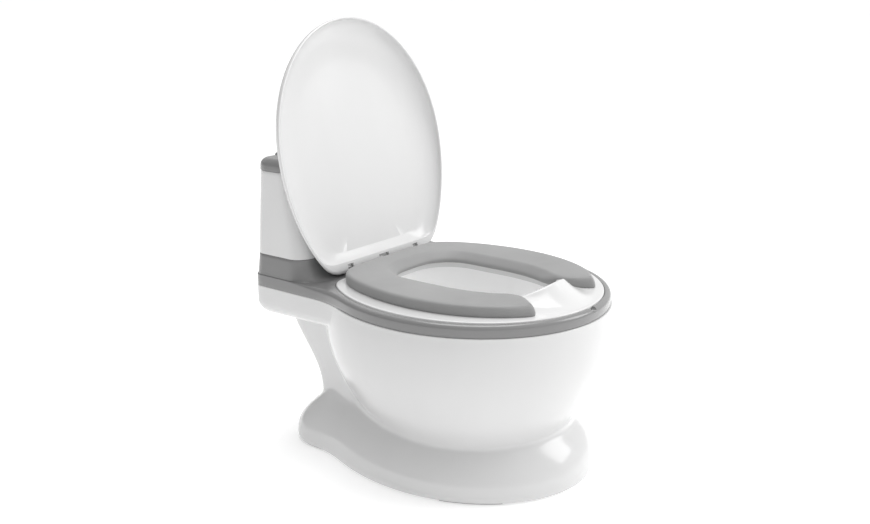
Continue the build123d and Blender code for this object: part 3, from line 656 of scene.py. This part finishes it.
def build_deck_platform():
    """The block under the tank, whose front sweeps down to the rim."""
    spokes = Spokes(160, platform_outline(RIM_TOP), 320)

    def level(z, inset=0.0, height=None):
        return spokes.ring(spokes.radius(platform_outline(z, inset)), z if height is None else height)

    rings = [level(SEAM_Z, 1.2), level(SEAM_Z, 0.2, SEAM_Z + 0.15)]
    front, r = platform_section(RIM_TOP)[1::2]
    for z in (SEAM_Z + 0.7, SEAM_Z + 4, RIM_TOP - 3):
        wide, _, rear, _ = platform_section(z)
        plan = block(wide - DECK_INSET, front, rear - DECK_INSET, r, DECK_CORNER)
        rings.append(spokes.ring(spokes.radius(plan), z))
    for t in np.radians(np.arange(90, -1, -6)):
        rings.append(level(TANK_Z - 1 - SWEEP_R * math.sin(t)))
    rings += [level(TANK_Z, 0.15, TANK_Z - 0.45), level(TANK_Z, 0.6), level(TANK_Z, 6)]
    return shell("deck_platform", rings, GREY, cap_first=True, cap_last=True)


def build_deck():
    pieces = [build_deck_ring(), build_deck_platform()]
    for x_from, x_to in LID_LUGS:
        profile = [(HINGE_Y - 4.4, RIM_TOP - 2), (HINGE_Y + 4.4, RIM_TOP - 2)]
        profile += [(HINGE_Y + across, HINGE_Z + up) for across, up in arc(4.4, 0, 180, 16)]
        pieces.append(rounded_prism("lug", profile, x_from, x_to, GREY, 0.9))
    deck = join("deck", pieces)
    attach(deck, "base")
    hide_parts("top_deck")


# ---------------------------------------------------------------- tank
def tank_block(share, inset=0.0):
    """The tank's plan, from its foot (share 0) to its top (share 1)."""
    half = TANK_HALF + share * (TANK_TOP_HALF - TANK_HALF)
    front = TANK_FRONT_Y + share * 23.5
    rear = BODY_REAR - 1 - share
    front_r = max(1, 20 - 7.5 * share - inset)
    return block(half - inset, front + inset, rear - inset, front_r, DECK_CORNER + 3 * share - inset)


def build_tank():
    spokes = Spokes(172, tank_block(0.5), 320)
    height = TANK_TOP_Z - TANK_Z

    def wall(share, inset):
        return spokes.radius(tank_block(share, inset))

    rings = [spokes.ring(wall(0, 6), TANK_Z), spokes.ring(wall(0, 1.1), TANK_Z + 0.02)]
    rings += [spokes.ring(wall(0, 0.45), TANK_Z + 0.25), spokes.ring(wall(0, 0.12), TANK_Z + 0.8)]
    for share in np.linspace(0.02, 0.985, 24):
        belly = 0.25 * math.sin(math.pi * share)
        rings.append(spokes.ring(wall(share, 0.1 - belly), TANK_Z + share * height))
    rings += [spokes.ring(wall(1, 0.3), TANK_TOP_Z - 0.35), spokes.ring(wall(1, 0.8), TANK_TOP_Z)]
    rings += [spokes.ring(wall(1, 2.2), TANK_TOP_Z), spokes.ring(wall(1, TANK_WALL), TANK_TOP_Z - 0.5)]
    for share in np.linspace(0.94, 0.1, 10):
        rings.append(spokes.ring(wall(share, TANK_WALL), TANK_Z + share * height))
    for across, up in arc(4.0, 0, -90, 5):
        rings.append(spokes.ring(wall(0.07, TANK_WALL + 4.0 - across), TANK_Z + WALL + 4.0 + up))
    body = shell("tank_walls", rings, WHITE, cap_first=True, cap_last=True)
    carve(body, cutter_box((-106.5, 195.5, TANK_TOP_Z - 2.4), (106.5, 206, TANK_TOP_Z + 1)))
    pieces = [body]
    for side in (-1, 1):
        x_from, x_to = sorted((side * 57, side * 65))
        profile = [(TANK_HINGE_Y - 4.5, TANK_TOP_Z - 16), (TANK_HINGE_Y + 4.5, TANK_TOP_Z - 16)]
        profile += [(TANK_HINGE_Y + across, TANK_HINGE_Z + up) for across, up in arc(4.5, 0, 180, 16)]
        pieces.append(rounded_prism("lug", profile, x_from, x_to, WHITE, 0.5))
        for y in (150, 185):
            steps = [(5.6, 2.5), (4.7, 4), (4.4, 11.4), (3.9, 12), (1.8, 12), (1.56, 11.7), (1.56, 5)]
            steps = [(r, TANK_Z + up) for r, up in steps]
            pieces.append(turned(side * 80.0, y, steps, WHITE))
    tank = join("tank", pieces)
    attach(tank, "base")
    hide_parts("tank_shell")


def build_tank_lid():
    spokes = Spokes(TANK_MIDDLE_Y, tank_block(1, -0.65), 360)
    low = TANK_TOP_Z + 0.4
    face = CAP_TOP_Z - 0.3
    under = CAP_TOP_Z - 2.6
    lean = math.tan(math.radians(4))

    def at(inset, z):
        shrink = inset + (z - low) * lean
        return spokes.ring(spokes.radius(tank_block(1, -0.65 + shrink)), z)

    def crown(ring, amount):
        away = np.clip(1 - np.abs(ring[:, 0]) / 105, 0, 1)
        ring[:, 2] += amount * ease(away, 0, 0.6)
        return ring

    hole = np.full(len(spokes.turn), 13.6)
    rings = [at(0.4, low), at(0.1, low + 0.15), at(0, low + 0.6), at(0, low + 3)]
    radius = 7.6
    for across, up in arc(radius, 0, 90, 10):
        rings.append(at(radius - across, face - radius + up))
    edge = rings[-1][:, :2] - np.array([0, TANK_MIDDLE_Y])
    edge_r = np.hypot(edge[:, 0], edge[:, 1])
    for share in (0.2, 0.45, 0.7, 0.92):
        rings.append(crown(spokes.ring(edge_r + share * (hole + 4.5 - edge_r), face), 0.3))
    rings.append(crown(spokes.ring(hole, face), 0.3))
    rings.append(spokes.ring(hole, under))
    inner = [at(2.4, low + 0.2), at(2.2, low + 0.6)]
    for across, up in arc(5.0, 0, 90, 5):
        inner.append(at(2.4 + 5.0 - across, under - 5.0 + up))
    rings += inner[::-1]
    lid = shell("tank_lid_shell", rings, GREY, loop=True)
    pieces = [lid]
    for side in (-1, 1):
        slot_from, slot_to = sorted((side * 56.4, side * 65.45))
        carve(lid, cutter_box((slot_from, 190.8, low - 2), (slot_to, 208, CAP_TOP_Z + 2)))
        x_from, x_to = sorted((side * 65.5, side * 79))
        pieces.append(rounded_bar("knuckle", 5.0, x_from, x_to, TANK_HINGE_Y, TANK_HINGE_Z, GREY, 1.4))
        x_from, x_to = sorted((side * 65.7, side * 78.8))
        profile = [(186, 326), (196, 324.5), (198, 331.2), (194, 331.4), (188, 329.8)]
        pieces.append(rounded_prism("web", profile, x_from, x_to, GREY, 1.0))
        steps = [(4.6, 2.4), (3.9, 4), (3.6, 5), (1.6, 5)]
        steps = [(r, CAP_TOP_Z - down) for r, down in steps]
        pieces.append(turned(side * 64, TANK_MIDDLE_Y, steps, GREY))
    cap = join("tank_cap", pieces)
    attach(cap, "tank_lid")
    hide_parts("tank_lid")


# ---------------------------------------------------------------- lid
def lid_ring(spokes, inset, turn, cut, lift=0.0):
    """A ring of the shut lid's dome, at turn degrees round the quarter ellipse of its edge."""
    share = math.sin(math.radians(turn))
    drawn_in = inset + LID_EDGE_WIDTH * (1 - math.cos(math.radians(turn)))
    outline = cut_egg(SEAT_HALF - drawn_in, SEAT_FRONT + drawn_in, 160 - inset, cut, LID_CORNER - inset)
    plan = spokes.ring(spokes.radius(outline), 0)
    crown = LID_SLOPE * (LID_FAR_Y - plan[:, 1]) - inset
    plan[:, 2] = LID_RIM_Z + lift + share * crown
    return plan


def lid_cut(height, drop):
    """Where the hinge end is cut off at that height; it is bevelled above and below."""
    heights = [LID_RIM_Z, 202.5, 204.6, 206.5, 209.3, 211.5, 213.4, 215.2]
    reaches = [115.2, 117.2, 118.6, 118.9, 118.5, 116.9, 113.0, 106.5]
    return float(np.interp(height + drop, heights, reaches)) - drop


def lid_inner_cut(height):
    """The inside of the hinge end: thick up to the knuckles, which it buries, then a ramp to the dome."""
    return lid_cut(height, LID_WALL) - 7.4 * (1 - float(ease(height, 212.0, 226.0)))


def to_open(obj):
    """Swings what was built with the lid shut to the open position."""
    turn = -math.radians(90 + LID_LEAN)
    c, s = math.cos(turn), math.sin(turn)
    pivot = np.array([HINGE_Y + SHIFT_Y, HINGE_Z]) / 1000
    co = np.array([tuple(v.co) for v in obj.data.vertices])
    y, z = co[:, 1] - pivot[0], co[:, 2] - pivot[1]
    co[:, 1], co[:, 2] = pivot[0] + y * c - z * s, pivot[1] + y * s + z * c
    obj.data.vertices.foreach_set("co", co.ravel())
    obj.data.update()


def close_dome(rings, inset):
    """Carries a set of rings on over the crown, in towards the middle."""
    edge = rings[-1]
    centre = np.array([0, OPENING_Y])
    for share in (0.15, 0.35, 0.6, 0.85):
        plan = edge.copy()
        plan[:, :2] = edge[:, :2] + share * (centre - edge[:, :2])
        plan[:, 2] = LID_RIM_Z + LID_SLOPE * (LID_FAR_Y - plan[:, 1]) - inset
        rings.append(plan)


def build_lid():
    spokes = Spokes(OPENING_Y, cut_egg(SEAT_HALF, SEAT_FRONT, 160, LID_END_Y, LID_CORNER), 400)
    deep = LID_SLOPE * (LID_FAR_Y - HINGE_Y)
    turns = [4, 7, 11, 15, 20, 25, 31, 37, 44, 51, 58, 66, 74, 82, 90]
    rim_cut = lid_cut(LID_RIM_Z, 0)
    outer = [lid_ring(spokes, 1.3, 0, rim_cut - 1.3), lid_ring(spokes, 0.7, 0, rim_cut - 0.6, 0.15)]
    outer.append(lid_ring(spokes, 0.25, 0, rim_cut, 0.5))
    inner = [lid_ring(spokes, 1.9, 0, 105.6, 0.15), lid_ring(spokes, 2.35, 0, 105.8, 0.5)]
    for turn in turns:
        share = math.sin(math.radians(turn))
        outer.append(lid_ring(spokes, 0, turn, lid_cut(LID_RIM_Z + deep * share, 0)))
        inner_cut = lid_inner_cut(LID_RIM_Z + (deep - LID_WALL) * share)
        inner.append(lid_ring(spokes, LID_WALL, turn, inner_cut))
    close_dome(outer, 0.0)
    close_dome(inner, LID_WALL)
    lid = shell("lid", outer[::-1] + inner, WHITE, cap_first=True, cap_last=True, sharp=40)
    for x_from, x_to in LID_LUGS:
        slot = cutter_box((x_from - 0.6, HINGE_Y - 4.9, 190), (x_to + 0.6, 140, HINGE_Z + 4.9))
        carve(lid, slot, 40)
    knuckles = []
    for x_from, x_to in LID_KNUCKLES:
        knuckles.append(rounded_bar("knuckle", 4.6, x_from, x_to, HINGE_Y, HINGE_Z, WHITE, 0.5))
    lid = join("lid", [lid, *knuckles])
    to_open(lid)
    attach(lid, "lid")
    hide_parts("lid_shell")


# ---------------------------------------------------------------- seat ring with its splash guard
def seat_opening(inset=0.0):
    """The opening in the seat: an oval front and a squarer rear with rounded corners."""
    half = OPENING_HALF - inset
    rear = OPENING_REAR - inset
    corner = OPENING_CORNER - inset
    front = np.radians(np.linspace(-90, 90, 400))
    turn = np.radians(np.linspace(0, 90, 120))
    bow = np.stack([half * np.sin(front), OPENING_Y - (104 - inset) * np.cos(front)], 1)
    right = np.stack([half - corner + corner * np.cos(turn), rear - corner + corner * np.sin(turn)], 1)
    left = right[::-1] * np.array([-1, 1])
    return np.vstack([bow, right, left])


def guard_rise(x, depth):
    """How far the guard stands above the ring, from x and the depth outward from the hole's edge."""
    reach = np.clip(np.abs(x) / GUARD_HALF, 0, 1)
    crest = GUARD_RISE * (1 - reach**1.9) ** 1.35
    scoop = np.clip(1 - (depth - 2.5) / 33, 0, 1)
    return crest * np.where(depth < 2.5, 1.0, scoop**1.4)


def build_seat():
    spokes = Spokes(OPENING_Y, seat_outline(0.6), 480)
    outer = spokes.radius(seat_outline(0.6))
    hole = spokes.radius(seat_opening())
    low = SEAT_Z - 7.5
    rings = [spokes.ring(outer - 0.5, low), spokes.ring(outer, low + 0.5), spokes.ring(outer, SEAT_Z - 1.5)]
    for across, up in arc(1.5, 15, 90, 5):
        rings.append(spokes.ring(outer - 1.5 + across, SEAT_Z - 1.5 + up))
    front = ease(np.cos(spokes.turn), 0.30, 0.62)

    def top(depth):
        plan = spokes.ring(hole + depth, SEAT_Z)
        plan[:, 2] += guard_rise(plan[:, 0], depth) * front
        return plan

    width = outer - 1.5 - hole
    for share in np.linspace(0.96, 0.12, 30):
        rings.append(top(share * width))
    for depth in (3.6, 2.4, 1.6):
        rings.append(top(np.full(len(hole), depth)))
    for across, up in arc(1.6, 75, 0, 5):
        plan = top(np.full(len(hole), 1.6))
        plan[:, :2] = spokes.ring(hole + 1.6 - across, 0)[:, :2]
        plan[:, 2] += up - 1.6
        rings.append(plan)
    rings.append(spokes.ring(hole, SEAT_Z - 3))
    rings.append(spokes.ring(hole, low))
    seat = shell("seat", rings, SEAT_WHITE, loop=True, sharp=50)
    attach(seat, "seat")
    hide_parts("seat_ring")


# ---------------------------------------------------------------- cushion
def fan(points, start):
    """The points of an outline from that angle right round to its mirror image, in order."""
    turn = np.mod(np.arctan2(points[:, 0], OPENING_Y - points[:, 1]), 2 * np.pi)
    keep = (turn > start) & (turn < 2 * np.pi - start)
    return points[keep][np.argsort(turn[keep])]


def cushion_outline():
    """The horseshoe's foot seen from above, with rounded lobes each side of the guard."""
    outer = egg(118.5, -160, 148)
    outer[:, 1] = np.minimum(outer[:, 1], 103.4)
    outer = fan(soften(outer, 24), 0.46)
    inner = fan(seat_opening(7.0), 0.50)[::-1]
    mouth = [(60.0, -141.0), (53.0, -129.0), (45.0, -118.0), (39.5, -108.0)]
    left = [(-x, y) for x, y in mouth]
    return np.array(list(outer) + left + list(inner) + mouth[::-1], float)


# (inset, height) up the outer side, up the bevelled side round the opening, and up the rounded lobes
OUTER_SIDE = (
    (1.4, 0.02), (0.5, 0.35), (0.1, 1.2), (-0.1, 3.5), (-0.1, 6.0), (0.05, 8.2), (0.45, 9.6), (1.1, 10.6),
    (1.9, 11.25), (2.8, 11.65), (4.0, 11.9), (6.2, 12.0),
)
INNER_SIDE = (
    (0.8, 0.02), (0.3, 0.4), (0.1, 1.0), (0.0, 2.2), (0.2, 3.3), (0.8, 4.4), (2.2, 5.8), (4.4, 7.6),
    (6.6, 9.4), (8.4, 10.8), (9.8, 11.6), (11.8, 12.0),
)
TIP_SIDE = (
    (1.0, 0.02), (0.4, 0.4), (0.1, 1.2), (0.1, 2.4), (0.3, 3.8), (0.8, 5.4), (1.4, 7.0), (2.2, 8.6),
    (3.1, 9.9), (4.1, 10.9), (5.2, 11.6), (6.4, 12.0),
)


def build_cushion():
    plan = resample(soften(resample(cushion_outline(), 1600), 11.0, 1600), 720)
    ahead = np.roll(plan, -1, 0) - np.roll(plan, 1, 0)
    area = np.sum(plan[:, 0] * np.roll(plan[:, 1], -1) - np.roll(plan[:, 0], -1) * plan[:, 1])
    out = np.stack([ahead[:, 1], -ahead[:, 0]], 1) * math.copysign(1, area)
    out /= np.hypot(out[:, 0], out[:, 1])[:, None]
    within = np.hypot(plan[:, 0] / 75, (plan[:, 1] + 12) / 100) < 1
    weight = within * ease(plan[:, 1], -108, -78)
    kernel = np.hanning(31) / np.hanning(31).sum()
    weight = np.convolve(np.concatenate([weight[-15:], weight, weight[:15]]), kernel, "valid")
    grow = (CUSHION_TOP - SEAT_Z) / 12
    tip = np.hypot(np.abs(plan[:, 0]) - LOBE_X, plan[:, 1] - LOBE_Y)
    rounded = 1 - ease(tip, 6, 42)
    rings = []
    for outer, inner, lobe in zip(OUTER_SIDE, INNER_SIDE, TIP_SIDE):
        outer_inset = outer[0] + (lobe[0] - outer[0]) * rounded
        outer_up = outer[1] + (lobe[1] - outer[1]) * rounded
        inset = outer_inset + (inner[0] - outer_inset) * weight
        up = outer_up + (inner[1] - outer_up) * weight
        moved = plan - out * inset[:, None]
        rings.append(np.stack([moved[:, 0], moved[:, 1], SEAT_Z + up * grow], 1))
    cushion = shell("cushion", rings, CUSHION, sharp=60)
    fill_ends(cushion)
    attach(cushion, "cushion")
    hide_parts("seat_cushion")


# ---------------------------------------------------------------- pot
def build_pot():
    spokes = Spokes(OPENING_Y, seat_outline(1.2), 360)
    flange = spokes.radius(seat_outline(1.2))
    depth = spline([(POT_FLOOR_Z, 40), (100, 33), (112, 25), (140, 15), (170, 7), (190, 3)])

    def wall(z, inset):
        d = float(depth(z)) + inset
        return spokes.radius(egg(118 - d, -140 + d, 94 - d))

    rising = list(np.arange(97, 112, 2)) + list(np.arange(114, 189, 6))
    falling = list(np.arange(184, 112, -6)) + list(np.arange(110, 97, -2))
    rings = [spokes.ring(wall(POT_FLOOR_Z, inset), POT_FLOOR_Z) for inset in (12, 1.5)]
    rings += [spokes.ring(wall(z, 0), z) for z in rising]
    rings += [spokes.ring(wall(189, -0.6), 189.6), spokes.ring(flange - 0.6, 190), spokes.ring(flange, 190.6)]
    rings += [spokes.ring(flange, 191.9), spokes.ring(flange - 0.6, 192.4)]
    rings += [spokes.ring(wall(190, 0.2), 192.4), spokes.ring(wall(190, 1.6), 191.8)]
    rings.append(spokes.ring(wall(188, POT_WALL), 189.5))
    rings += [spokes.ring(wall(z, POT_WALL), z + 1.5) for z in falling]
    rings.append(spokes.ring(wall(POT_FLOOR_Z, 10), POT_FLOOR_Z + POT_WALL))
    pot = shell("pot_bowl", rings, POT_WHITE, cap_first=True, cap_last=True, sharp=50)
    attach(pot, "pot")
    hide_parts("pot")


build_base()
build_deck()
build_tank()
build_tank_lid()
build_lid()
build_seat()
build_cushion()
build_pot()

FINISHES = {
    "rim_screws": SCREW,
    "foot_pad_front_right": RUBBER,
    "foot_pad_front_left": RUBBER,
    "foot_pad_rear_right": RUBBER,
    "foot_pad_rear_left": RUBBER,
    "lid_hinge_pins": PIN,
    "tank_screws": SCREW,
    "tank_buffers": RUBBER,
    "tank_hinge_pins": PIN,
    "unit_housing": INNER,
    "unit_screws": SCREW,
    "sound_board": BOARD,
    "button_switch": DARK,
    "speaker": DARK,
    "battery_cells": CELL,
    "battery_contacts": CONTACT,
    "battery_cover": INNER,
    "battery_cover_screw": SCREW,
    "button_bezel": WHITE,
    "flush_button": WHITE,
    "button_spring": CONTACT,
    "cushion_plate": INNER,
    "cushion_pegs": INNER,
}
for node, finish in FINISHES.items():
    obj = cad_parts[node]
    obj.data.materials.clear()
    obj.data.materials.append(finish)


# ---------------------------------------------------------------- stage, light and camera
FLOOR_HALF = 150.0
CAMERA_PLACE = (-0.8651, -0.6410, 0.5143)
CAMERA_TARGET = (0.0, 0.01823, 0.2136)
CAMERA_LENS = 41.59


def build_stage():
    mesh = bpy.data.meshes.new("floor")
    corners = [(x * FLOOR_HALF, y * FLOOR_HALF, 0) for x, y in ((-1, -1), (1, -1), (1, 1), (-1, 1))]
    mesh.from_pydata(corners, [], [(0, 1, 2, 3)])
    floor = bpy.data.objects.new("floor", mesh)
    bpy.context.scene.collection.objects.link(floor)
    material, tree, shader, place = new_material("floor_white")
    patch = noise(tree, place, 3.0, 2.0)
    pale = ramp(tree, patch, [(0.3, (0.86, 0.86, 0.86)), (0.7, (0.88, 0.88, 0.88))])
    tree.links.new(pale, shader.inputs["Base Color"])
    shader.inputs["Roughness"].default_value = 0.9
    shader.inputs["Specular IOR Level"].default_value = 0.1
    shader.inputs["Emission Color"].default_value = (1, 1, 1, 1)
    shader.inputs["Emission Strength"].default_value = 0.35
    mesh.materials.append(material)


def area_light(name, place, target, size, power):
    lamp = bpy.data.lights.new(name, "AREA")
    lamp.shape = "RECTANGLE"
    lamp.size, lamp.size_y = size
    lamp.energy = power
    obj = bpy.data.objects.new(name, lamp)
    bpy.context.scene.collection.objects.link(obj)
    obj.location = place
    obj.rotation_euler = (Vector(target) - Vector(place)).to_track_quat("-Z", "Y").to_euler()


def build_light():
    world = bpy.data.worlds.new("studio")
    bpy.context.scene.world = world
    world.use_nodes = True
    tree = world.node_tree
    place = tree.nodes.new("ShaderNodeTexCoord")
    side = tree.nodes.new("ShaderNodeVectorMath")
    side.operation = "DOT_PRODUCT"
    side.inputs[1].default_value = (0.52, -0.50, 0.69)
    tree.links.new(place.outputs["Generated"], side.inputs[0])
    level = tree.nodes.new("ShaderNodeMapRange")
    level.inputs["From Min"].default_value = -0.8
    level.inputs["From Max"].default_value = 0.9
    level.inputs["To Min"].default_value = 0.16
    level.inputs["To Max"].default_value = 0.98
    tree.links.new(side.outputs["Value"], level.inputs["Value"])
    tree.links.new(level.outputs["Result"], tree.nodes["Background"].inputs["Strength"])
    tree.nodes["Background"].inputs["Color"].default_value = (1, 1, 1, 1)
    area_light("key", (1.3, -1.5, 1.5), (0, 0, 0.2), (1.0, 1.2), 14)
    area_light("top", (0.25, 0.15, 2.0), (0, 0, 0.2), (1.2, 1.2), 16)


def build_camera():
    camera = bpy.data.cameras.new("camera")
    camera.lens = CAMERA_LENS
    camera.sensor_width = 36.0
    obj = bpy.data.objects.new("camera", camera)
    bpy.context.scene.collection.objects.link(obj)
    obj.location = CAMERA_PLACE
    aim = Vector(CAMERA_TARGET) - Vector(CAMERA_PLACE)
    obj.rotation_euler = aim.to_track_quat("-Z", "Y").to_euler()
    bpy.context.scene.camera = obj


build_stage()
build_light()
build_camera()
bpy.context.scene.view_settings.view_transform = "Standard"
